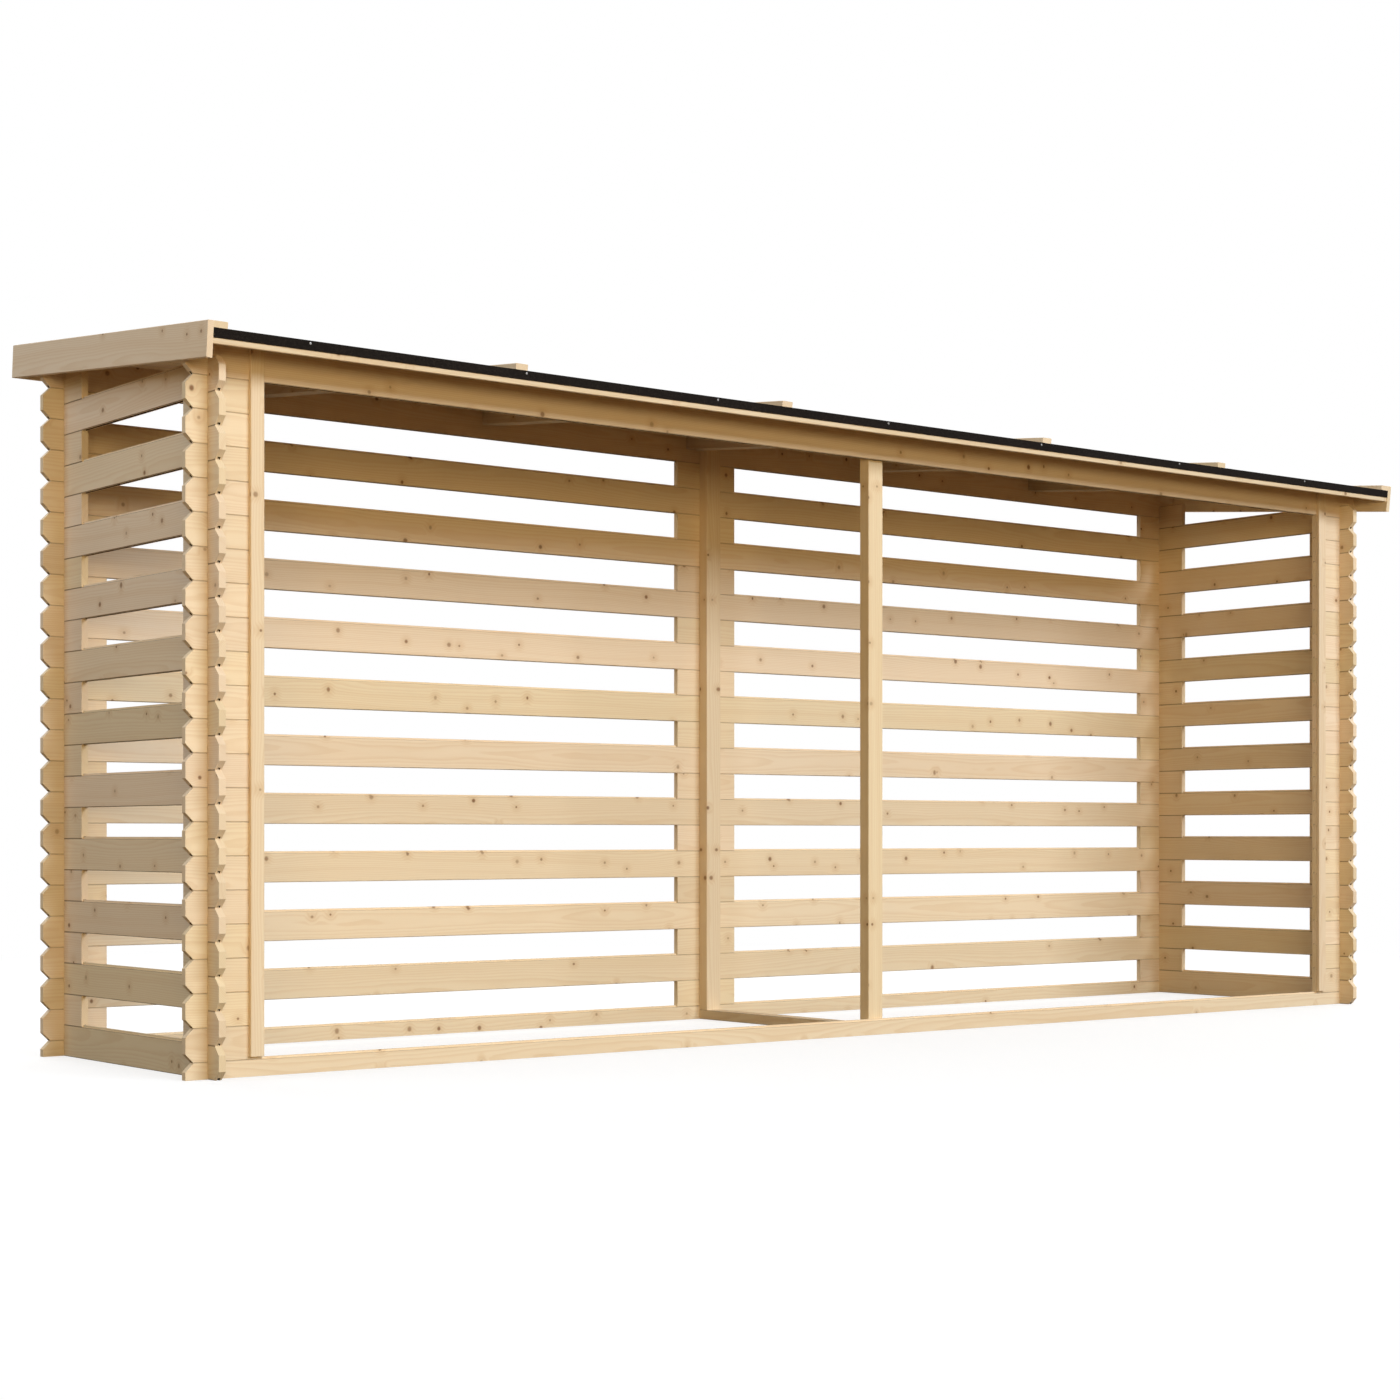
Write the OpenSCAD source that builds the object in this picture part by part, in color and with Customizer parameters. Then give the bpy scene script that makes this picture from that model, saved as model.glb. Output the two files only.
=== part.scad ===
// Open log store with slatted walls of crossing logs and a low felted roof.
// Lengths are in millimetres. X runs along the store, Y to its back, Z up.

/* [Logs] */
// Height of one course of logs
course = 95; // [80:1:120]
// Thickness of a log
log_t = 21; // [18:1:28]
// Length of a log past the wall that it crosses
ear = 67; // [40:1:90]
// Slant sawn off the corners of a log's end
ear_chamfer = 25; // [12:1:30]
// Bevel along the edges of a log
edge_bevel = 2; // [1:0.5:3]
// Height of the tongue along a log's top
tongue_h = 6; // [4:0.5:9]
// Width of the tongue
tongue_w = 7; // [5:0.5:8]
// Room round a tongue in its groove
groove_gap = 0.5; // [0.3:0.1:1]
// Room on each side of a log in a notch
notch_gap = 0.3; // [0.2:0.1:1]

/* [Walls] */
// Length of the store, outside its side walls
wall_length = 5000; // [4000:10:6000]
// Depth of the store, outside its front and rear walls
wall_depth = 975; // [700:5:1400]
// Number of slats in a side wall
side_slats = 11; // [7:1:13]
// Reach of a side wall's spacers into the store
side_spacer = 128; // [80:1:200]
// Reach of the rear wall's corner spacers into the store
rear_spacer = 119; // [80:1:200]
// Length of the spacers in the middle of the rear wall
centre_spacer = 266; // [160:2:400]
// Reach of the front logs from the side walls to the opening
stub_reach = 147; // [100:1:300]

/* [Frame] */
// Width of the trim at the opening's edges
jamb_w = 42; // [30:1:60]
// Thickness of that trim
jamb_t = 14; // [10:1:28]
// Room under the trim
jamb_gap = 9; // [1:0.5:15]
// Width of the posts and of the floor beam
post_w = 64; // [44:1:100]
// Depth of the posts
post_d = 45; // [32:1:70]
// Height of the floor beam
beam_h = 34; // [20:1:45]
// Width of a rafter
rafter_w = 60; // [40:1:90]
// Depth of a rafter
rafter_d = 45; // [30:1:60]
// Distance between rafters
rafter_pitch = 887; // [500:1:960]
// Number of rafters on each side of the middle one
rafters_a_side = 2; // [1:1:2]
// Small bevel along the edges of posts, trims and boards
arris = 1.5; // [0.5:0.5:3]

/* [Roof] */
// Overhang of the roof at the front
front_overhang = 166; // [130:1:220]
// Overhang of the roof at the rear
rear_overhang = 167; // [120:1:250]
// Thickness of the roof boards
deck_t = 19; // [14:1:24]
// Number of roof boards
deck_boards = 14; // [8:1:18]
// Thickness of the felt
felt_t = 3; // [2:0.5:5]
// Length of felt folded down over the front fascia
felt_fold = 24; // [16:1:30]
// Height of the front fascia
fascia_h = 40; // [32:1:60]
// Thickness of the fascias
fascia_t = 18; // [12:1:22]
// Height of the barge boards
barge_h = 100; // [80:1:120]
// Thickness of the barge boards
barge_t = 18; // [12:1:22]
// Width of a roof batten
batten_w = 42; // [30:1:60]
// Thickness of a roof batten
batten_t = 18; // [12:1:22]
// Distance of the second batten from the left to the middle
batten_left_outer = 1570; // [1200:1:1800]
// Distance of the third batten from the left to the middle
batten_left_inner = 550; // [300:1:900]
// Distance of the third batten from the right to the middle
batten_right_inner = 634; // [300:1:900]
// Distance of the second batten from the right to the middle
batten_right_outer = 1560; // [1200:1:1800]

/* [Hidden] */
half_length = wall_length / 2;
quarter = course / 4;
half_course = course / 2;
notch_w = log_t + 2 * notch_gap;
groove_w = tongue_w + 2 * groove_gap;
groove_d = tongue_h + groove_gap;
inner_x = half_length - log_t;
opening_x = inner_x - stub_reach;

// Heights of the two logs that carry the roof
header_top = 2 * side_slats * course - half_course;
header_low = header_top - course;
rear_top_low = header_top;

// The roof's underside climbs one course from the header to the rear wall
roof_run = wall_depth - log_t;
roof_rise = course;
slope = roof_rise / roof_run;
pitch = atan(slope);
roof_top = deck_t + felt_t + batten_t;
barge_drop = barge_h - roof_top;
roof_x = half_length + ear;
roof_front = -(front_overhang + log_t) / cos(pitch);
roof_rear = (roof_run + rear_overhang) / cos(pitch);

// The whole store is centred front to back under its roof
ridge_shift = (barge_drop - roof_top) * sin(pitch);
roof_y = -((roof_front + roof_rear) * cos(pitch) + ridge_shift) / 2;
front_y = roof_y - log_t;
rear_y = front_y + wall_depth;
rear_inner_y = rear_y - log_t;

function roof_z(y) = header_top + (y - roof_y) * slope;

// Side view of a log. Its ends are ears or square cuts, and it is notched from
// below and from above wherever another wall crosses it.
function left_end(a, lo, hi, ear_end) = ear_end
    ? [[a + ear_chamfer + tongue_h, hi + tongue_h], [a, hi - ear_chamfer],
       [a, lo + ear_chamfer], [a + ear_chamfer, lo]]
    : [[a, hi + tongue_h], [a, lo]];

function right_end(b, lo, hi, ear_end) = ear_end
    ? [[b - ear_chamfer, lo], [b, lo + ear_chamfer],
       [b, hi - ear_chamfer], [b - ear_chamfer - tongue_h, hi + tongue_h]]
    : [[b, lo], [b, hi + tongue_h]];

function low_notch(s, lo) = [
    [s - notch_w / 2, lo], [s - notch_w / 2, lo + quarter],
    [s + notch_w / 2, lo + quarter], [s + notch_w / 2, lo]
];

function high_notch(s, hi) = [
    [s + notch_w / 2, hi + tongue_h], [s + notch_w / 2, hi - quarter],
    [s - notch_w / 2, hi - quarter], [s - notch_w / 2, hi + tongue_h]
];

function low_notches(at, lo) = [for (s = at) each low_notch(s, lo)];

function high_notches(at, hi) =
    [for (i = [len(at) - 1 : -1 : 0]) each high_notch(at[i], hi)];

function log_side(a, b, lo, hi, ears, at) = concat(
    left_end(a, lo, hi, ears[0]), low_notches(at, lo),
    right_end(b, lo, hi, ears[1]), high_notches(at, hi)
);

// Cross-section of a log, with the tongue on top and the groove below
function groove(lo) = [
    [(log_t - groove_w) / 2, lo], [(log_t - groove_w) / 2, lo + groove_d],
    [(log_t + groove_w) / 2, lo + groove_d], [(log_t + groove_w) / 2, lo]
];

function tongue(hi) = [
    [(log_t + tongue_w) / 2, hi], [(log_t + tongue_w) / 2, hi + tongue_h],
    [(log_t - tongue_w) / 2, hi + tongue_h], [(log_t - tongue_w) / 2, hi]
];

function foot(lo) = concat(
    [[0, lo + edge_bevel], [edge_bevel, lo]], groove(lo),
    [[log_t - edge_bevel, lo], [log_t, lo + edge_bevel]]
);

function head(hi) = concat(
    [[log_t, hi - edge_bevel], [log_t - edge_bevel, hi]], tongue(hi),
    [[edge_bevel, hi], [0, hi - edge_bevel]]
);

function log_section(lo, hi) = concat(foot(lo), head(hi));

function sill_section(hi) = concat([[0, 0], [log_t, 0]], head(hi));

// The section of a log whose top is sawn to the roof's slope
function eaves_section(y, lo) =
    concat(foot(lo), [[log_t, roof_z(y + log_t)], [0, roof_z(y)]]);

// A log along X whose front face lies at y, made from its side and its section
module log_x(a, b, y, side, section) {
    intersection() {
        translate([0, y + log_t, 0]) rotate([90, 0, 0]) linear_extrude(log_t) polygon(side);
        translate([a, y, 0]) rotate([90, 0, 90]) linear_extrude(b - a) polygon(section);
    }
}

// A log along Y whose left face lies at x
module log_y(a, b, x, side, section) {
    intersection() {
        translate([x, 0, 0]) rotate([90, 0, 90]) linear_extrude(log_t) polygon(side);
        translate([x, b, 0]) rotate([90, 0, 0]) linear_extrude(b - a) polygon(section);
    }
}

module whole_log_x(a, b, y, lo, ears, at) {
    side = log_side(a, b, lo, lo + course, ears, at);
    log_x(a, b, y, side, log_section(lo, lo + course));
}

module whole_log_y(a, b, x, lo, ears, at) {
    side = log_side(a, b, lo, lo + course, ears, at);
    log_y(a, b, x, side, log_section(lo, lo + course));
}

// Places where the walls cross, and the ends of the logs that run right through
cross_x = half_length - log_t / 2;
cross_front_y = front_y + log_t / 2;
cross_rear_y = rear_y - log_t / 2;
end_x = half_length + ear;
end_front_y = front_y - ear;
end_rear_y = rear_y + ear;

// Front and rear wall: half log on the ground
module sill(y) {
    ends = end_x - ear_chamfer - tongue_h;
    shoulder = half_course - ear_chamfer;
    side = concat(
        [[-end_x, 0], [end_x, 0], [end_x, shoulder], [ends, half_course + tongue_h]],
        high_notches([-cross_x, cross_x], half_course),
        [[-ends, half_course + tongue_h], [-end_x, shoulder]]
    );
    log_x(-end_x, end_x, y, side, sill_section(half_course));
}

// Front and rear wall: log under the roof, notched only from below
module eaves_log(y, lo) {
    top = roof_z(y + log_t) + course;
    side = concat(
        [[-end_x, top], [-end_x, lo + ear_chamfer], [-end_x + ear_chamfer, lo]],
        low_notches([-cross_x, cross_x], lo),
        [[end_x - ear_chamfer, lo], [end_x, lo + ear_chamfer], [end_x, top]]
    );
    log_x(-end_x, end_x, y, side, eaves_section(y, lo));
}

module front_stubs(first) {
    for (k = [first : 2 : 2 * side_slats - 3])
        whole_log_x(opening_x, end_x, front_y, half_course + k * course, [false, true], [cross_x]);
}

module wall_slats() {
    for (k = [0 : side_slats - 1])
        whole_log_y(end_front_y, end_rear_y, inner_x, 2 * k * course,
            [true, true], [cross_front_y, cross_rear_y]);
}

module wall_front_spacers() {
    tip = front_y + log_t + side_spacer;
    for (k = [0 : side_slats - 2])
        whole_log_y(end_front_y, tip, inner_x, (2 * k + 1) * course,
            [true, false], [cross_front_y]);
}

module wall_rear_spacers() {
    tip = rear_inner_y - side_spacer;
    for (k = [0 : side_slats - 1])
        whole_log_y(tip, end_rear_y, inner_x, (2 * k + 1) * course,
            [false, true], [cross_rear_y]);
}

module rear_corner_spacers() {
    for (k = [0 : side_slats - 1])
        whole_log_x(inner_x - rear_spacer, end_x, rear_inner_y, half_course + 2 * k * course,
            [false, true], [cross_x]);
}

// Section of a planed piece, with a small bevel on each edge
function planed(w, h) = [
    [arris, 0], [w - arris, 0], [w, arris], [w, h - arris],
    [w - arris, h], [arris, h], [0, h - arris], [0, arris]
];

// Cuts a piece off along the underside of the roof boards
module under_roof() {
    side = [[end_front_y, 0], [end_rear_y, 0], [end_rear_y, roof_z(end_rear_y)],
            [end_front_y, roof_z(end_front_y)]];
    intersection() {
        children();
        translate([-half_length, 0, 0]) rotate([90, 0, 90]) linear_extrude(wall_length) polygon(side);
    }
}

// Cuts a piece off between the front and the rear wall
module between_walls() {
    intersection() {
        children();
        translate([-half_length, front_y + log_t, 0])
            cube([wall_length, wall_depth - 2 * log_t, header_top + 2 * course]);
    }
}

module upright(x, y, w, d, low) {
    under_roof() translate([x, y, low]) linear_extrude(header_top + course) polygon(planed(w, d));
}

module jamb() { upright(opening_x, front_y - jamb_t, jamb_w, jamb_t, half_course + jamb_gap); }

// Roof pieces are drawn on a flat roof and tilted into place. On it, X runs
// along the store, Y up the slope and Z away from the boards' underside.
module on_roof() {
    translate([0, roof_y, header_top]) rotate([pitch, 0, 0]) children();
}

module roof_strip(outline) {
    on_roof() translate([-roof_x, 0, 0]) rotate([90, 0, 90])
        linear_extrude(2 * roof_x) polygon(outline);
}

deck_front = roof_front + felt_t + fascia_t;
deck_rear = roof_rear - fascia_t;
board_w = (deck_rear - deck_front) / deck_boards;
board_tongue = deck_t / 3;
board_groove = board_tongue + 2 * groove_gap;

// Section of one roof board, with its tongue up the slope
function board_section(y, last) = concat(
    [[y + edge_bevel, 0]],
    last ? [[y + board_w, 0], [y + board_w, deck_t]] : [
        [y + board_w - edge_bevel, 0], [y + board_w, edge_bevel],
        [y + board_w, (deck_t - board_tongue) / 2],
        [y + board_w + board_tongue, (deck_t - board_tongue) / 2],
        [y + board_w + board_tongue, (deck_t + board_tongue) / 2],
        [y + board_w, (deck_t + board_tongue) / 2], [y + board_w, deck_t]
    ],
    [[y, deck_t], [y, (deck_t + board_groove) / 2],
     [y + board_groove, (deck_t + board_groove) / 2],
     [y + board_groove, (deck_t - board_groove) / 2],
     [y, (deck_t - board_groove) / 2], [y, edge_bevel]]
);

module roof_boards(first) {
    for (k = [first : 2 : deck_boards - 1])
        roof_strip(board_section(deck_front + k * board_w, k == deck_boards - 1));
}

// A planed piece up the slope, from the front of the roof to its rear
module slope_piece(x, z, w, h) {
    on_roof() translate([x, roof_rear, z]) rotate([90, 0, 0])
        linear_extrude(roof_rear - roof_front) polygon(planed(w, h));
}

module barge_board() { slope_piece(roof_x, -barge_drop, barge_t, barge_h); }

module roof_batten(x) { slope_piece(x - batten_w / 2, deck_t + felt_t, batten_w, batten_t); }

// An edge board along the store, with its top flush with the roof boards
module edge_board(y, h) {
    roof_strip([for (p = planed(fascia_t, h)) p + [y, deck_t - h]]);
}

// The named pieces

module front_sill() { color("burlywood") sill(front_y); }

module front_header() { color("tan") eaves_log(front_y, header_low); }

module front_left_logs_odd() { color("wheat") mirror([1, 0, 0]) front_stubs(0); }

module front_left_logs_even() { color("navajowhite") mirror([1, 0, 0]) front_stubs(1); }

module front_right_logs_odd() { color("wheat") front_stubs(0); }

module front_right_logs_even() { color("navajowhite") front_stubs(1); }

module left_jamb() { color("moccasin") mirror([1, 0, 0]) jamb(); }

module right_jamb() { color("moccasin") jamb(); }

module left_wall_slats() { color("burlywood") mirror([1, 0, 0]) wall_slats(); }

module right_wall_slats() { color("burlywood") wall_slats(); }

module left_wall_front_spacers() { color("tan") mirror([1, 0, 0]) wall_front_spacers(); }

module right_wall_front_spacers() { color("tan") wall_front_spacers(); }

module left_wall_rear_spacers() { color("tan") mirror([1, 0, 0]) wall_rear_spacers(); }

module right_wall_rear_spacers() { color("tan") wall_rear_spacers(); }

module rear_sill() { color("burlywood") sill(rear_inner_y); }

module rear_wall_slats() {
    color("wheat")
    for (k = [0 : side_slats - 2])
        whole_log_x(-end_x, end_x, rear_inner_y, half_course + (2 * k + 1) * course,
            [true, true], [-cross_x, cross_x]);
}

module rear_top_log() { color("tan") eaves_log(rear_inner_y, rear_top_low); }

module rear_left_spacers() { color("navajowhite") mirror([1, 0, 0]) rear_corner_spacers(); }

module rear_right_spacers() { color("navajowhite") rear_corner_spacers(); }

module rear_centre_spacers() {
    color("navajowhite")
    for (k = [0 : side_slats - 1])
        whole_log_x(-centre_spacer / 2, centre_spacer / 2, rear_inner_y,
            half_course + 2 * k * course, [false, false], []);
}

module front_post() {
    color("peru") upright(-post_w / 2, front_y + log_t, post_w, post_d, beam_h);
}

module rear_post() {
    color("peru") upright(-post_w / 2, rear_inner_y - post_d, post_w, post_d, beam_h);
}

module floor_beam() {
    color("sienna") translate([-post_w / 2, rear_inner_y, 0]) rotate([90, 0, 0])
        linear_extrude(wall_depth - 2 * log_t) polygon(planed(post_w, beam_h));
}

// The middle rafter lies against the left side of the posts
module rafters() {
    color("chocolate") between_walls()
    for (k = [-rafters_a_side : rafters_a_side])
        slope_piece(k * rafter_pitch - post_w / 2 - rafter_w, -rafter_d, rafter_w, rafter_d);
}

module roof_boards_odd() { color("khaki") roof_boards(0); }

module roof_boards_even() { color("palegoldenrod") roof_boards(1); }

module front_fascia() { color("wheat") edge_board(roof_front + felt_t, fascia_h); }

module rear_fascia() { color("wheat") edge_board(deck_rear, deck_t + barge_drop); }

module roof_felt() {
    y = roof_front + felt_t;
    top = deck_t + felt_t;
    color("dimgray") roof_strip([
        [roof_front, deck_t - felt_fold], [y, deck_t - felt_fold], [y, deck_t],
        [roof_rear, deck_t], [roof_rear, top], [roof_front, top]
    ]);
}

module left_barge_board() { color("burlywood") mirror([1, 0, 0]) barge_board(); }

module right_barge_board() { color("burlywood") barge_board(); }

module roof_battens() {
    edge = roof_x - batten_w / 2;
    color("wheat")
    for (x = [-edge, -batten_left_outer, -batten_left_inner,
              batten_right_inner, batten_right_outer, edge])
        roof_batten(x);
}

front_sill();
front_header();
front_left_logs_odd();
front_left_logs_even();
front_right_logs_odd();
front_right_logs_even();
left_jamb();
right_jamb();
left_wall_slats();
right_wall_slats();
left_wall_front_spacers();
right_wall_front_spacers();
left_wall_rear_spacers();
right_wall_rear_spacers();
rear_sill();
rear_wall_slats();
rear_top_log();
rear_left_spacers();
rear_centre_spacers();
rear_right_spacers();
front_post();
rear_post();
floor_beam();
rafters();
roof_boards_odd();
roof_boards_even();
front_fascia();
rear_fascia();
roof_felt();
left_barge_board();
right_barge_board();
roof_battens();
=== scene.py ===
import math
from types import SimpleNamespace

import bmesh
import bpy
from mathutils import Matrix, Vector

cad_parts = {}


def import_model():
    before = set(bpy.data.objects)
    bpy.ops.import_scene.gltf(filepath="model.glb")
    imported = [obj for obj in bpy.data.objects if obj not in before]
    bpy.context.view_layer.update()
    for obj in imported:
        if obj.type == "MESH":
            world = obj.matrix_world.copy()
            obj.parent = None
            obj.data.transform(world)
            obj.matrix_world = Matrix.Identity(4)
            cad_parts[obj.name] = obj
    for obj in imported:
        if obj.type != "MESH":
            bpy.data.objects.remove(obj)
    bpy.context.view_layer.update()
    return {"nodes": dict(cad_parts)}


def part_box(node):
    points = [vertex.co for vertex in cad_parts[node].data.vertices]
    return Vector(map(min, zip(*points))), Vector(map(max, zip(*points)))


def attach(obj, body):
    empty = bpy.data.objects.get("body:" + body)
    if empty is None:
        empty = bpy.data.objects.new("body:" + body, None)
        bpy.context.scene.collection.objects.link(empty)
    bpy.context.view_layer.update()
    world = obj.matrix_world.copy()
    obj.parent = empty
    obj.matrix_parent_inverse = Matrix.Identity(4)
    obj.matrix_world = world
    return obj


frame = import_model()
nodes = frame["nodes"]

# Sizes of the store, in metres
COURSE = 0.095
GROOVE_DEPTH = 0.0068
GROOVE_HALF_WIDTH = 0.0042
PITCH = math.atan2(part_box("rear_top_log")[1].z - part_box("front_header")[1].z,
                   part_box("rear_top_log")[1].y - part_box("front_header")[1].y)

# Room across the grain for each piece of a node that holds several, in metres
LOG_ROOM = 2 * COURSE
BOARD_ROOM = 0.1822
RAFTER_ROOM = 0.887
BATTEN_ROOM = 0.9

# How the grain lies in each kind of piece: the axes along the grain, across it
# and into the piece, and whether they are tilted with the roof
LAID = {
    "along_x": ("xzy", False),
    "along_y": ("yzx", False),
    "upright": ("zxy", False),
    "deck": ("xyz", True),
    "edge": ("xzy", True),
    "slope": ("yxz", True),
    "barge": ("yzx", True),
}

# Grain of each node, and the room for each of its pieces across the grain
GRAIN = {
    "front_sill": ("along_x", None),
    "front_header": ("along_x", None),
    "front_left_logs_odd": ("along_x", LOG_ROOM),
    "front_left_logs_even": ("along_x", LOG_ROOM),
    "front_right_logs_odd": ("along_x", LOG_ROOM),
    "front_right_logs_even": ("along_x", LOG_ROOM),
    "left_jamb": ("upright", None),
    "right_jamb": ("upright", None),
    "left_wall_slats": ("along_y", LOG_ROOM),
    "right_wall_slats": ("along_y", LOG_ROOM),
    "left_wall_front_spacers": ("along_y", LOG_ROOM),
    "right_wall_front_spacers": ("along_y", LOG_ROOM),
    "left_wall_rear_spacers": ("along_y", LOG_ROOM),
    "right_wall_rear_spacers": ("along_y", LOG_ROOM),
    "rear_sill": ("along_x", None),
    "rear_wall_slats": ("along_x", LOG_ROOM),
    "rear_top_log": ("along_x", None),
    "rear_left_spacers": ("along_x", LOG_ROOM),
    "rear_centre_spacers": ("along_x", LOG_ROOM),
    "rear_right_spacers": ("along_x", LOG_ROOM),
    "front_post": ("upright", None),
    "rear_post": ("upright", None),
    "floor_beam": ("along_y", None),
    "rafters": ("slope", RAFTER_ROOM),
    "roof_boards_odd": ("deck", BOARD_ROOM),
    "roof_boards_even": ("deck", BOARD_ROOM),
    "front_fascia": ("edge", None),
    "rear_fascia": ("edge", None),
    "left_barge_board": ("barge", None),
    "right_barge_board": ("barge", None),
    "roof_battens": ("slope", BATTEN_ROOM),
}

# How the timber grew, in metres
RING_WIDTH = 0.0046
PITH_SPREAD_ACROSS = 0.15
PITH_SPREAD_DEEP = 0.06
PITH_LEAST_DEEP = 0.015
PITH_WANDER_ACROSS = 0.06
PITH_WANDER_DEEP = 0.05
RING_RIPPLE = 0.006
RING_BEND_AT_KNOT = 0.006
KNOT_ROOM = 0.14
KNOT_LEAST_RADIUS = 0.0045
KNOT_RADIUS_SPREAD = 0.005
HALO_START = 0.004
HALO_END = 0.032

# Where the dark part of a growth ring starts, is full and fades, as shares of the ring
LATE_START = 0.25
LATE_FULL = 0.85
LATE_FADE = 0.88

# Waves per metre along the grain and, where there are two, across it
PITH_WAVES = 0.9
RIPPLE_WAVES = (5.0, 28.0)
BAND_WAVES = (0.8, 95.0)
FIBRE_WAVES = (9.0, 900.0)

# Where bands and fibres start to show in their noise, and where they show in full
BAND_RANGE = (0.42, 0.72)
FIBRE_RANGE = (0.45, 0.75)

# Heights of the late wood and the fibres in the grain's relief, as shares of its depth in metres
LATE_HEIGHT = -0.5
FIBRE_HEIGHT = 0.6
RELIEF_DEPTH = 0.0006

# Knots: the share of their rooms that stay bare, how flat they are, how dark
# they are, and where their soft edge starts and ends in radii
BARE_SHARE = 0.36
KNOT_MOST_FLAT = 1.4
KNOT_FLAT_SPREAD = 0.6
KNOT_LEAST_DARK = 0.4
KNOT_DARK_SPREAD = 0.6
KNOT_EDGE_START = 0.4
KNOT_EDGE_END = 1.2

# How squarely a face has to look one way to count as an edge, an end or a bevel
EDGE_LOOK = 0.8
END_LOOK = 0.6
BEVEL_LEAST_LOOK = 0.4
BEVEL_MOST_LOOK = 0.9

# Distances that part the timber of one piece from the next, and the draws of one node from the next
SHIFT_ALONG = 9.0
SHIFT_ACROSS = 3.0
SHIFT_IN_DRIFT = 40.0
DRAW_STEP = 31.7

# Colours, as linear red, green and blue
EARLY_WOOD = (0.86, 0.705, 0.53)
YELLOW_WOOD = (0.83, 0.69, 0.45)
LATE_WOOD = (0.66, 0.43, 0.22)
KNOT_HEART = (0.20, 0.085, 0.035)
KNOT_HALO = (0.60, 0.37, 0.17)
# Painted shade for the bevels at the joints between logs and boards
JOINT_SHADE = (0.10, 0.055, 0.025)
GROOVE_PAINTED_SHADE = (0.035, 0.02, 0.008)
FELT_DARK = (0.008, 0.006, 0.005)
FELT_PALE = (0.030, 0.024, 0.020)
ZINC_PALE = (0.27, 0.26, 0.25)
ZINC_DARK = (0.17, 0.17, 0.18)
SKY = (1.0, 0.88, 0.62)
FLOOR_BOUNCE = (0.10, 0.055, 0.02)
FLOOR_GREY = (0.34, 0.34, 0.34)
WHITE = (1.0, 1.0, 1.0)

# How much of each colour goes over the pale wood
YELLOW_SHARE = 0.8
RING_SHARE = 0.23
BAND_SHARE = 0.17
FIBRE_SHARE = 0.10
HALO_SHARE = 0.28
HEART_SHARE = 0.88

# How dark the painted shade in the bevels at the joints is in each kind of piece that has them
JOINT_SHADE_SHARE = {"along_x": 0.28, "along_y": 0.55, "deck": 0.55}

# How light the timber is, with the rafters painted darker than the rest as shade, and how far its pieces
# differ
TIMBER_LEVEL = 0.95
RAFTER_SHADE_LEVEL = 0.58
LEVEL_SPREAD = 0.10

# Felt and zinc: grains, patches and spangles per metre, the grit's height in metres
# and how far the zinc is mottled
GRIT_RATE = 620.0
PATCH_RATE = 7.0
GRIT_HEIGHT = 0.0008
SPANGLE_RATE = 900.0
MOTTLE_SHARE = 0.35

# Nails, in metres
FELT_NAIL_FIRST = -2.272
FELT_NAIL_STEP = 0.72
FELT_NAIL_COUNT = 7
FELT_NAIL_RISE = 0.014
FELT_NAIL_RADIUS = 0.0036
BATTEN_NAIL_FIRST = -0.12
BATTEN_NAIL_STEP = 0.235
BATTEN_NAIL_COUNT = 6
BATTEN_NAIL_RADIUS = 0.0038

# The studio: light of the sky and glow of the floor, and lengths in metres
SKY_LEVEL = 0.20
FLOOR_GLOW = 0.72
FLOOR_SIZE = 60.0
FLOOR_DROP = 0.001
FADE_START = 3.0
FADE_END = 6.5

# The camera, in metres, degrees and the camera's own units
CAMERA_X = -5.6898
CAMERA_BEFORE_SILL = 6.3015
CAMERA_HEIGHT = 0.6762
CAMERA_TURN = -38.661
SENSOR_WIDTH = 36.0
FOCAL_LENGTH = 64.289
SHIFT_RIGHT = -0.02179
SHIFT_UP = 0.09642


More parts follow.
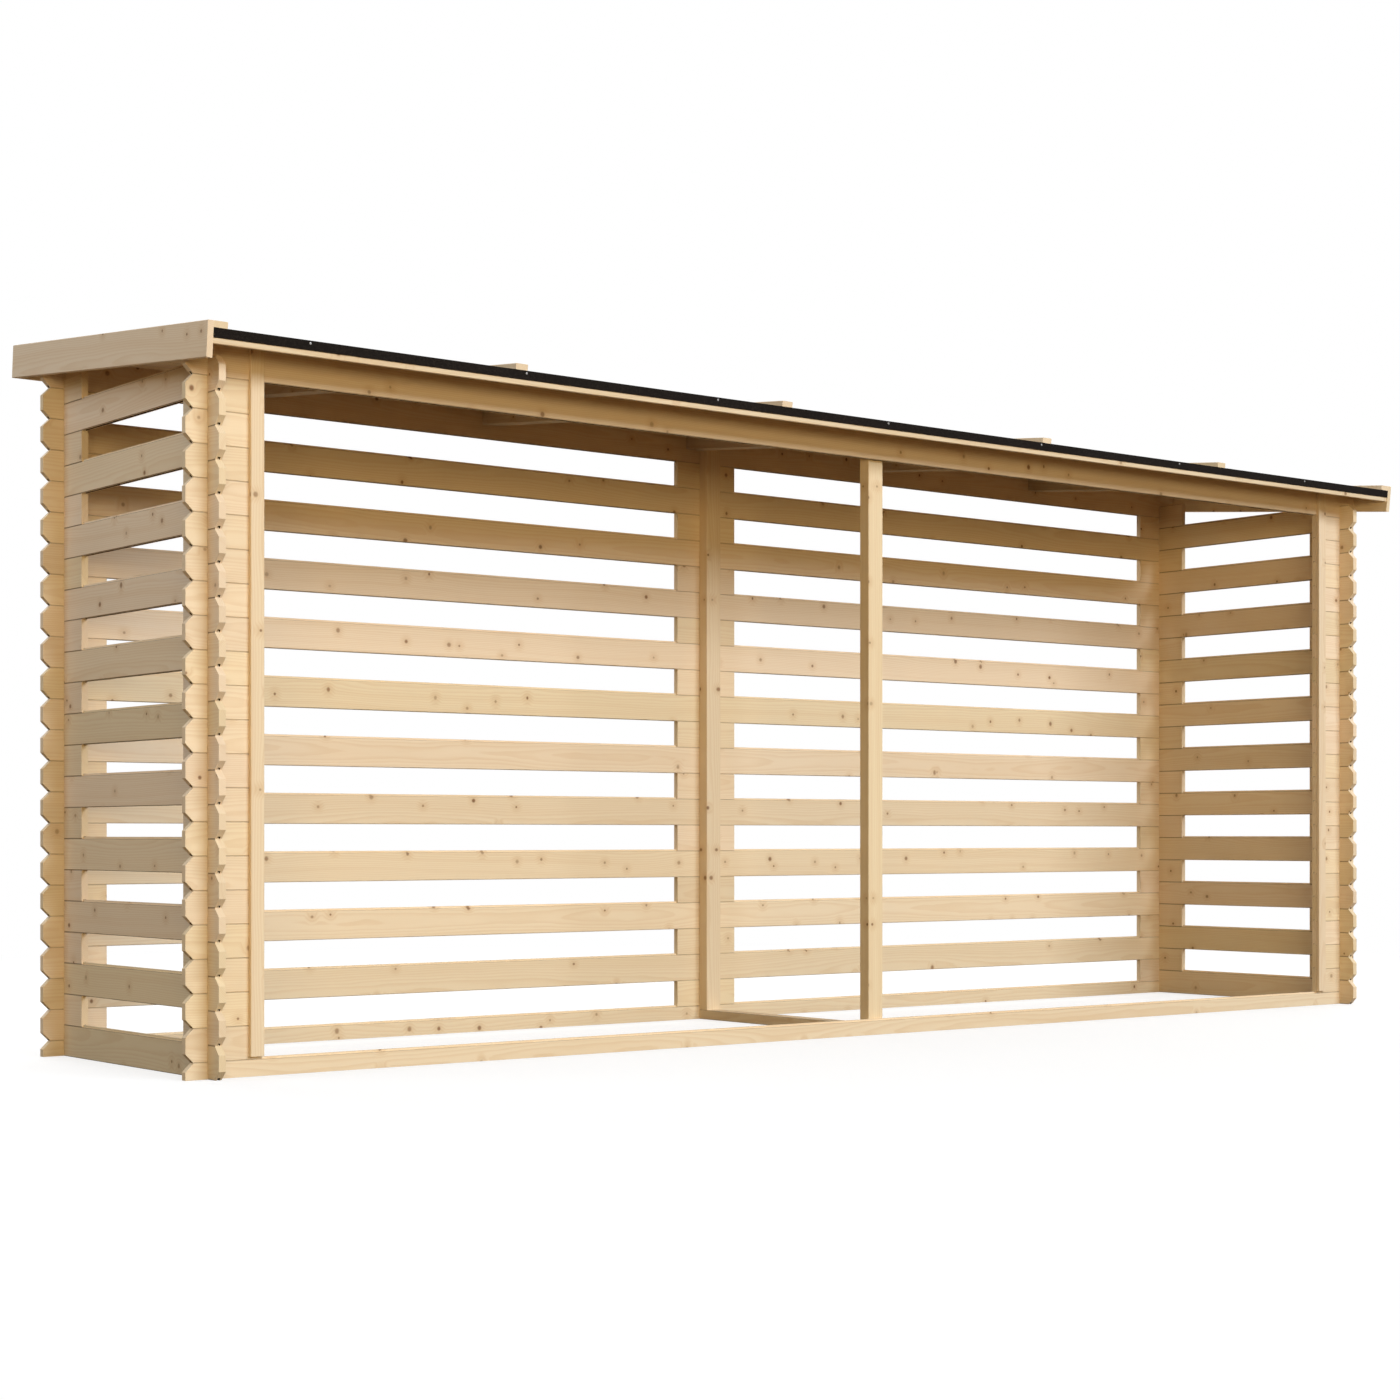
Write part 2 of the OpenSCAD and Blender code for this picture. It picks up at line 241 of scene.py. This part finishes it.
class Graph:
    """A short way to write the nodes of a material or a world."""

    def __init__(self, owner):
        self.owner = owner
        self.owner.use_nodes = True
        self.tree = self.owner.node_tree
        self.tree.nodes.clear()

    def node(self, kind, inputs, **settings):
        made = self.tree.nodes.new("ShaderNode" + kind)
        for key, value in settings.items():
            setattr(made, key, value)
        for socket, value in inputs.items():
            if isinstance(value, bpy.types.NodeSocket):
                self.tree.links.new(value, made.inputs[socket])
            else:
                made.inputs[socket].default_value = value
        return made

    def number(self, operation, a, b=0.0, c=0.0):
        return self.node("Math", {0: a, 1: b, 2: c}, operation=operation).outputs[0]

    def rest(self, value):
        """What is left of 1 when the value is taken away."""
        return self.number("SUBTRACT", 1.0, value)

    def ease(self, value, low, high):
        """0 below low, 1 above high and a smooth rise between them."""
        made = self.node("MapRange", {0: value, 1: low, 2: high}, interpolation_type="SMOOTHSTEP")
        return made.outputs[0]

    def point(self, x, y, z):
        return self.node("CombineXYZ", {0: x, 1: y, 2: z}).outputs[0]

    def parts(self, vector):
        return self.node("SeparateXYZ", {0: vector}).outputs[0:3]

    def vectors(self, operation, a, b):
        return self.node("VectorMath", {0: a, 1: b}, operation=operation).outputs[0]

    def length(self, vector):
        return self.node("VectorMath", {0: vector}, operation="LENGTH").outputs["Value"]

    def turned(self, vector, angle):
        """The three parts of a vector that is turned about X."""
        made = self.node("VectorRotate", {"Vector": vector, "Angle": angle}, rotation_type="X_AXIS")
        return self.parts(made.outputs[0])

    def place(self):
        return self.node("TexCoord", {}).outputs["Object"]

    def noise(self, vector, detail=2.0, scale=1.0, output="Fac"):
        made = self.node("TexNoise", {"Vector": vector, "Scale": scale, "Detail": detail})
        return made.outputs[output]

    def mix(self, factor, a, b, blend="MIX"):
        made = self.node("MixRGB", {0: factor, 1: as_colour(a), 2: as_colour(b)}, blend_type=blend)
        return made.outputs[0]

    def bump(self, height, strength, distance):
        made = self.node("Bump", {"Height": height, "Strength": strength, "Distance": distance})
        return made.outputs[0]

    def finish(self, shader):
        kind = "World" if isinstance(self.owner, bpy.types.World) else "Material"
        self.node("Output" + kind, {0: shader})
        return self.owner


def material_graph(name):
    return Graph(bpy.data.materials.new(name))


def as_colour(value):
    return (*value, 1.0) if isinstance(value, tuple) else value


def laid_points(name):
    """A node's points along its grain, across it and into it."""
    order, tilted = LAID[GRAIN[name][0]]
    turn = Matrix.Rotation(-PITCH if tilted else 0.0, 3, "X")
    turned = [turn @ v.co for v in nodes[name].data.vertices]
    return [[getattr(p, axis) for axis in order] for p in turned]


def timber_space(g, name):
    """Where each point of a node lies in its timber, and which way its face looks.

    along, across and deep are metres in the timber, and each piece has its own shift along it.
    chance holds three draws for each piece. edge, end and bevel are 1 on a face that looks across
    the grain, on one that looks along it, and on one that slants out of the piece."""
    order, tilted = LAID[GRAIN[name][0]]
    points = laid_points(name)
    low = min(p[1] for p in points)
    high = max(p[1] for p in points)
    depth = (min(p[2] for p in points) + max(p[2] for p in points)) / 2
    room = GRAIN[name][1] or 2 * (high - low)
    start = low - room / 4
    tilt = -PITCH if tilted else 0.0
    axes = dict(zip("xyz", g.turned(g.place(), tilt)))
    normal = dict(zip("xyz", g.turned(g.node("NewGeometry", {}).outputs["True Normal"], tilt)))
    looks_along, looks_across, looks_out = [g.number("ABSOLUTE", normal[axis]) for axis in order]
    cell = g.number("DIVIDE", g.number("SUBTRACT", axes[order[1]], start), room)
    count = g.number("ADD", g.number("FLOOR", cell), DRAW_STEP * list(GRAIN).index(name))
    chance = g.parts(g.node("TexWhiteNoise", {"W": count}, noise_dimensions="1D").outputs["Color"])
    middle = g.number("SUBTRACT", g.number("FRACT", cell), 0.5)
    slanted = g.number("LESS_THAN", looks_out, BEVEL_MOST_LOOK)
    outward = g.number("GREATER_THAN", looks_out, BEVEL_LEAST_LOOK)
    return SimpleNamespace(
        along=g.number("MULTIPLY_ADD", chance[0], SHIFT_ALONG, axes[order[0]]),
        across=g.number("MULTIPLY", middle, room),
        deep=g.number("SUBTRACT", axes[order[2]], depth),
        chance=chance,
        edge=g.number("GREATER_THAN", looks_across, EDGE_LOOK),
        end=g.number("GREATER_THAN", looks_along, END_LOOK),
        bevel=g.number("MULTIPLY", slanted, outward),
    )


def grain_noise(g, at, waves, detail):
    """Noise that is drawn out along the grain."""
    place = g.point(
        g.number("MULTIPLY", at.along, waves[0]),
        g.number("MULTIPLY", at.across, waves[1]),
        g.number("MULTIPLY", at.deep, waves[1]),
    )
    return g.noise(place, detail)


def knots(g, at):
    """How far each point lies inside a knot, from 0 to 1, and how near it is to one."""
    beside = g.number("MULTIPLY_ADD", at.edge, g.number("SUBTRACT", at.deep, at.across), at.across)
    shifted = g.number("MULTIPLY_ADD", at.chance[1], SHIFT_ACROSS, beside)
    place = g.point(g.number("DIVIDE", at.along, KNOT_ROOM), g.number("DIVIDE", shifted, KNOT_ROOM), 0.0)
    cells = g.node("TexVoronoi", {"Vector": place, "Scale": 1.0}, voronoi_dimensions="2D", feature="F1")
    luck = g.parts(cells.outputs["Color"])
    offset = g.vectors("SUBTRACT", place, cells.outputs["Position"])
    flatness = g.number("MULTIPLY_ADD", luck[1], -KNOT_FLAT_SPREAD, KNOT_MOST_FLAT)
    stretch = g.point(1.0, flatness, 0.0)
    away = g.number("MULTIPLY", g.length(g.vectors("MULTIPLY", offset, stretch)), KNOT_ROOM)
    there = g.number("MULTIPLY", g.number("GREATER_THAN", luck[1], BARE_SHARE), g.rest(at.end))
    squared = g.number("POWER", luck[0], 2.0)
    radius = g.number("MULTIPLY_ADD", squared, KNOT_RADIUS_SPREAD, KNOT_LEAST_RADIUS)
    core = g.rest(g.ease(g.number("DIVIDE", away, radius), KNOT_EDGE_START, KNOT_EDGE_END))
    dark = g.number("MULTIPLY_ADD", luck[2], KNOT_DARK_SPREAD, KNOT_LEAST_DARK)
    inside = g.number("MULTIPLY", core, dark)
    near = g.rest(g.ease(away, HALO_START, HALO_END))
    return g.number("MULTIPLY", inside, there), g.number("MULTIPLY", near, there)


def pith_distance(g, at, near_knot):
    """Distance from the pith, which wanders along the log, with the rings bent round the knots."""
    shift = g.number("MULTIPLY", at.chance[2], SHIFT_IN_DRIFT)
    slow = g.point(g.number("MULTIPLY", at.along, PITH_WAVES), shift, 0.0)
    drift = g.parts(g.noise(slow, 1.0, output="Color"))
    pith_across = g.number("MULTIPLY_ADD", at.chance[1], PITH_SPREAD_ACROSS, -PITH_SPREAD_ACROSS / 2)
    pith_deep = g.number("MULTIPLY_ADD", at.chance[2], PITH_SPREAD_DEEP, PITH_LEAST_DEEP)
    pith_across = g.number("MULTIPLY_ADD", drift[0], PITH_WANDER_ACROSS, pith_across)
    pith_deep = g.number("MULTIPLY_ADD", drift[1], PITH_WANDER_DEEP, pith_deep)
    side = g.number("SUBTRACT", at.across, pith_across)
    depth = g.number("SUBTRACT", at.deep, pith_deep)
    squared = g.number("MULTIPLY_ADD", side, side, g.number("MULTIPLY", depth, depth))
    ripple = grain_noise(g, at, RIPPLE_WAVES, 2.0)
    rippled = g.number("MULTIPLY_ADD", ripple, RING_RIPPLE, g.number("SQRT", squared))
    return g.number("MULTIPLY_ADD", near_knot, RING_BEND_AT_KNOT, rippled)


def late_wood(g, radius):
    """The dark part of each growth ring, which darkens slowly and ends at once."""
    ring = g.number("FRACT", g.number("DIVIDE", radius, RING_WIDTH))
    rise = g.ease(ring, LATE_START, LATE_FULL)
    fall = g.ease(ring, LATE_FADE, 1.0)
    return g.number("MULTIPLY", rise, g.rest(fall))


def broad_bands(g, at, radius):
    """Groups of rings that are darker than their neighbours."""
    place = g.point(
        g.number("MULTIPLY", at.along, BAND_WAVES[0]),
        g.number("MULTIPLY", radius, BAND_WAVES[1]),
        at.chance[0],
    )
    return g.ease(g.noise(place, 3.0), *BAND_RANGE)


def groove(g, at):
    """1 inside the groove along the foot of a log, which opens at the slanted ends, where painted shade
    goes.
    """
    low = g.number("LESS_THAN", at.across, -COURSE / 2 + GROOVE_DEPTH)
    inside = g.number("LESS_THAN", g.number("ABSOLUTE", at.deep), GROOVE_HALF_WIDTH)
    return g.number("MULTIPLY", low, inside)


def spruce(name):
    """Planed spruce, with growth rings, streaks, fibres and knots in the solid."""
    kind = GRAIN[name][0]
    g = material_graph("spruce_" + name)
    at = timber_space(g, name)
    knot, near_knot = knots(g, at)
    radius = pith_distance(g, at, near_knot)
    late = late_wood(g, radius)
    fibre = grain_noise(g, at, FIBRE_WAVES, 3.0)

    colour = g.mix(g.number("MULTIPLY", at.chance[2], YELLOW_SHARE), EARLY_WOOD, YELLOW_WOOD)
    layers = [
        (late, RING_SHARE, LATE_WOOD),
        (broad_bands(g, at, radius), BAND_SHARE, LATE_WOOD),
        (g.ease(fibre, *FIBRE_RANGE), FIBRE_SHARE, LATE_WOOD),
        (near_knot, HALO_SHARE, KNOT_HALO),
        (knot, HEART_SHARE, KNOT_HEART),
    ]
    for mask, share, layer in layers:
        colour = g.mix(g.number("MULTIPLY", mask, share), colour, layer)
    # The rafters are painted darker, as the deep shade under the roof
    base = RAFTER_SHADE_LEVEL if name == "rafters" else TIMBER_LEVEL
    level = g.number("MULTIPLY_ADD", at.chance[0], LEVEL_SPREAD, base)
    colour = g.mix(1.0, colour, g.point(level, level, level), "MULTIPLY")
    # Painted shade: the bevels at the joints are darkened as if shadow lay in them
    if kind in JOINT_SHADE_SHARE:
        colour = g.mix(g.number("MULTIPLY", at.bevel, JOINT_SHADE_SHARE[kind]), colour, JOINT_SHADE)
    if kind in ("along_x", "along_y"):
        # Painted shade: the groove is coloured near black, as the shadow in its hollow
        colour = g.mix(groove(g, at), colour, GROOVE_PAINTED_SHADE)

    height = g.number("MULTIPLY_ADD", late, LATE_HEIGHT, g.number("MULTIPLY", fibre, FIBRE_HEIGHT))
    shader = g.node("BsdfPrincipled", {
        "Base Color": colour,
        "Roughness": g.number("MULTIPLY_ADD", late, 0.08, 0.72),
        "Specular IOR Level": 0.08,
        "Normal": g.bump(height, strength=0.25, distance=RELIEF_DEPTH),
    })
    return g.finish(shader.outputs[0])


def roofing_felt():
    """Bitumen felt strewn with fine mineral grit."""
    g = material_graph("roofing_felt")
    place = g.place()
    grit = g.node("TexVoronoi", {"Vector": place, "Scale": GRIT_RATE}, feature="F1")
    speck = g.ease(g.parts(grit.outputs["Color"])[0], 0.55, 1.0)
    patch = g.ease(g.noise(place, 4.0, scale=PATCH_RATE), 0.3, 0.7)
    strewn = g.number("MULTIPLY", speck, g.number("MULTIPLY_ADD", patch, 0.5, 0.5))
    shader = g.node("BsdfPrincipled", {
        "Base Color": g.mix(strewn, FELT_DARK, FELT_PALE),
        "Roughness": 0.9,
        "Specular IOR Level": 0.1,
        "Normal": g.bump(grit.outputs["Distance"], strength=0.5, distance=GRIT_HEIGHT),
    })
    return g.finish(shader.outputs[0])


def zinc():
    """Galvanised nail heads, a little mottled."""
    g = material_graph("zinc")
    spangle = g.node("TexVoronoi", {"Vector": g.place(), "Scale": SPANGLE_RATE}, feature="F1")
    mottle = g.number("MULTIPLY", g.parts(spangle.outputs["Color"])[0], MOTTLE_SHARE)
    shader = g.node("BsdfPrincipled", {
        "Base Color": g.mix(mottle, ZINC_PALE, ZINC_DARK),
        "Metallic": 0.6,
        "Roughness": 0.42,
    })
    return g.finish(shader.outputs[0])


def give(name, material):
    nodes[name].data.materials.clear()
    nodes[name].data.materials.append(material)


def roof_matrix(x, up_slope, off_boards):
    """A place on the roof: along the store, up the slope and off the boards' underside."""
    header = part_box("front_header")[1]
    eaves = Vector((0.0, header.y, header.z))
    tilt = Matrix.Rotation(PITCH, 4, "X")
    return Matrix.Translation(eaves) @ tilt @ Matrix.Translation((x, up_slope, off_boards))


def roof_points(name):
    """A node's points along the store, up the slope and off the boards' underside."""
    flat = roof_matrix(0.0, 0.0, 0.0).inverted()
    return [flat @ v.co for v in nodes[name].data.vertices]


def nail_head(mesh, place, radius):
    """One low domed head on the plane of place, facing its +Z."""
    profile = [(1.0, -0.2), (1.0, 0.08), (0.82, 0.18), (0.45, 0.24)]
    sides = 14
    rings = []
    for reach, rise in profile:
        ring = []
        for k in range(sides):
            angle = 2 * math.pi * k / sides
            spot = Vector((math.cos(angle) * reach, math.sin(angle) * reach, rise)) * radius
            ring.append(mesh.verts.new(place @ spot))
        rings.append(ring)
    for inner, outer in zip(rings[1:], rings):
        for k in range(sides):
            after = (k + 1) % sides
            mesh.faces.new((outer[k], outer[after], inner[after], inner[k]))
    mesh.faces.new(rings[-1])
    mesh.faces.new(list(reversed(rings[0])))


def nails(name, places, radius, material):
    """One piece that holds a nail head at each place."""
    mesh = bmesh.new()
    for place in places:
        nail_head(mesh, place, radius)
    data = bpy.data.meshes.new(name)
    mesh.to_mesh(data)
    mesh.free()
    data.materials.append(material)
    piece = bpy.data.objects.new(name, data)
    bpy.context.scene.collection.objects.link(piece)
    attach(piece, "root")


def felt_nails(material):
    """Clout nails along the fold of the felt at the front."""
    fold = min(p.y for p in roof_points("roof_felt"))
    forward = Matrix.Rotation(math.radians(90.0), 4, "X")
    along = [FELT_NAIL_FIRST + FELT_NAIL_STEP * k for k in range(FELT_NAIL_COUNT)]
    places = [roof_matrix(x, fold, FELT_NAIL_RISE) @ forward for x in along]
    nails("felt_nails", places, FELT_NAIL_RADIUS, material)


def batten_nails(material):
    """Nails that hold the battens down through the felt."""
    points = roof_points("roof_battens")
    top = max(p.z for p in points)
    edges = sorted({round(p.x, 4) for p in points if math.isclose(p.z, top, abs_tol=0.0001)})
    centres = [(left + right) / 2 for left, right in zip(edges[0::2], edges[1::2])]
    up_slope = [BATTEN_NAIL_FIRST + BATTEN_NAIL_STEP * k for k in range(BATTEN_NAIL_COUNT)]
    places = [roof_matrix(x, y, top) for x in centres for y in up_slope]
    nails("batten_nails", places, BATTEN_NAIL_RADIUS, material)


def seen_white(g, plain, glow):
    """Glow where the camera, gloss and glass look, and plain light for all else."""
    path = g.node("LightPath", {}).outputs
    either = g.number("MAXIMUM", path["Is Camera Ray"], path["Is Glossy Ray"])
    any_of = g.number("MAXIMUM", either, path["Is Transmission Ray"])
    return g.node("MixShader", {0: any_of, 1: plain, 2: glow}).outputs[0]


def world():
    """A white background that lights the store as a dim, warm sky."""
    g = Graph(bpy.data.worlds.new("world"))
    sky = g.node("Background", {0: as_colour(SKY), 1: SKY_LEVEL})
    white = g.node("Background", {0: as_colour(WHITE), 1: 1.0})
    bpy.context.scene.world = g.finish(seen_white(g, sky.outputs[0], white.outputs[0]))


def floor():
    """A pale floor that fades into the background and keeps the store's shadow."""
    g = material_graph("floor")
    bounce = g.node("BsdfDiffuse", {0: as_colour(FLOOR_BOUNCE)})
    lit = g.node("BsdfDiffuse", {0: as_colour(FLOOR_GREY)})
    glow = g.node("Emission", {0: as_colour(WHITE), 1: FLOOR_GLOW})
    near = g.node("AddShader", {0: lit.outputs[0], 1: glow.outputs[0]})
    white = g.node("Emission", {0: as_colour(WHITE), 1: 1.0})
    fade = g.ease(g.length(g.place()), FADE_START, FADE_END)
    shown = g.node("MixShader", {0: fade, 1: near.outputs[0], 2: white.outputs[0]})
    material = g.finish(seen_white(g, bounce.outputs[0], shown.outputs[0]))
    bpy.ops.mesh.primitive_plane_add(size=FLOOR_SIZE, location=(0.0, 0.0, -FLOOR_DROP))
    plane = bpy.context.active_object
    plane.name = "floor"
    plane.data.materials.append(material)


def soft_light(name, place, aim, width, height, watts, colour):
    """A broad soft light that the camera doesn't see."""
    lamp = bpy.data.lights.new(name, "AREA")
    lamp.shape = "RECTANGLE"
    lamp.size = width
    lamp.size_y = height
    lamp.energy = watts
    lamp.color = colour
    thing = bpy.data.objects.new(name, lamp)
    bpy.context.scene.collection.objects.link(thing)
    thing.location = place
    look = Vector(aim) - thing.location
    thing.rotation_euler = look.to_track_quat("-Z", "Y").to_euler()
    thing.visible_camera = False


def lights():
    """A cool key before the open front, a low warm light at the left, and fills at the sides and behind."""
    soft_light(
        "key", place=(5.0, -24.0, 11.8), aim=(0.0, 0.0, 1.0),
        width=20.0, height=8.8, watts=5550.0, colour=(0.95, 1.025, 1.13))
    soft_light(
        "low_left", place=(-6.5, -12.0, 2.1), aim=(8.0, 0.0, 1.0),
        width=8.0, height=2.4, watts=580.0, colour=(1.0, 0.76, 0.40))
    soft_light(
        "left_fill", place=(-8.0, 1.4, 6.0), aim=(-2.5, 0.0, 1.0),
        width=5.0, height=5.0, watts=195.0, colour=(0.85, 0.98, 1.2))
    soft_light(
        "right_fill", place=(8.0, 1.4, 6.0), aim=(2.5, 0.0, 1.0),
        width=5.0, height=5.0, watts=260.0, colour=(0.92, 0.98, 1.06))
    soft_light(
        "back_fill", place=(0.0, 8.0, 6.0), aim=(0.0, 0.5, 1.0),
        width=9.0, height=5.0, watts=620.0, colour=WHITE)


def camera():
    """Low and to the left of the open front, level, with the lens shifted up."""
    lens = bpy.data.cameras.new("camera")
    lens.sensor_width = SENSOR_WIDTH
    lens.lens = FOCAL_LENGTH
    lens.shift_x = SHIFT_RIGHT
    lens.shift_y = SHIFT_UP
    thing = bpy.data.objects.new("camera", lens)
    bpy.context.scene.collection.objects.link(thing)
    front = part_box("front_sill")[0].y
    thing.location = (CAMERA_X, front - CAMERA_BEFORE_SILL, CAMERA_HEIGHT)
    thing.rotation_euler = (math.radians(90.0), 0.0, math.radians(CAMERA_TURN))
    bpy.context.scene.camera = thing


for node_name in GRAIN:
    give(node_name, spruce(node_name))
give("roof_felt", roofing_felt())
nail_metal = zinc()
felt_nails(nail_metal)
batten_nails(nail_metal)
world()
floor()
lights()
camera()
bpy.context.scene.view_settings.view_transform = "Standard"
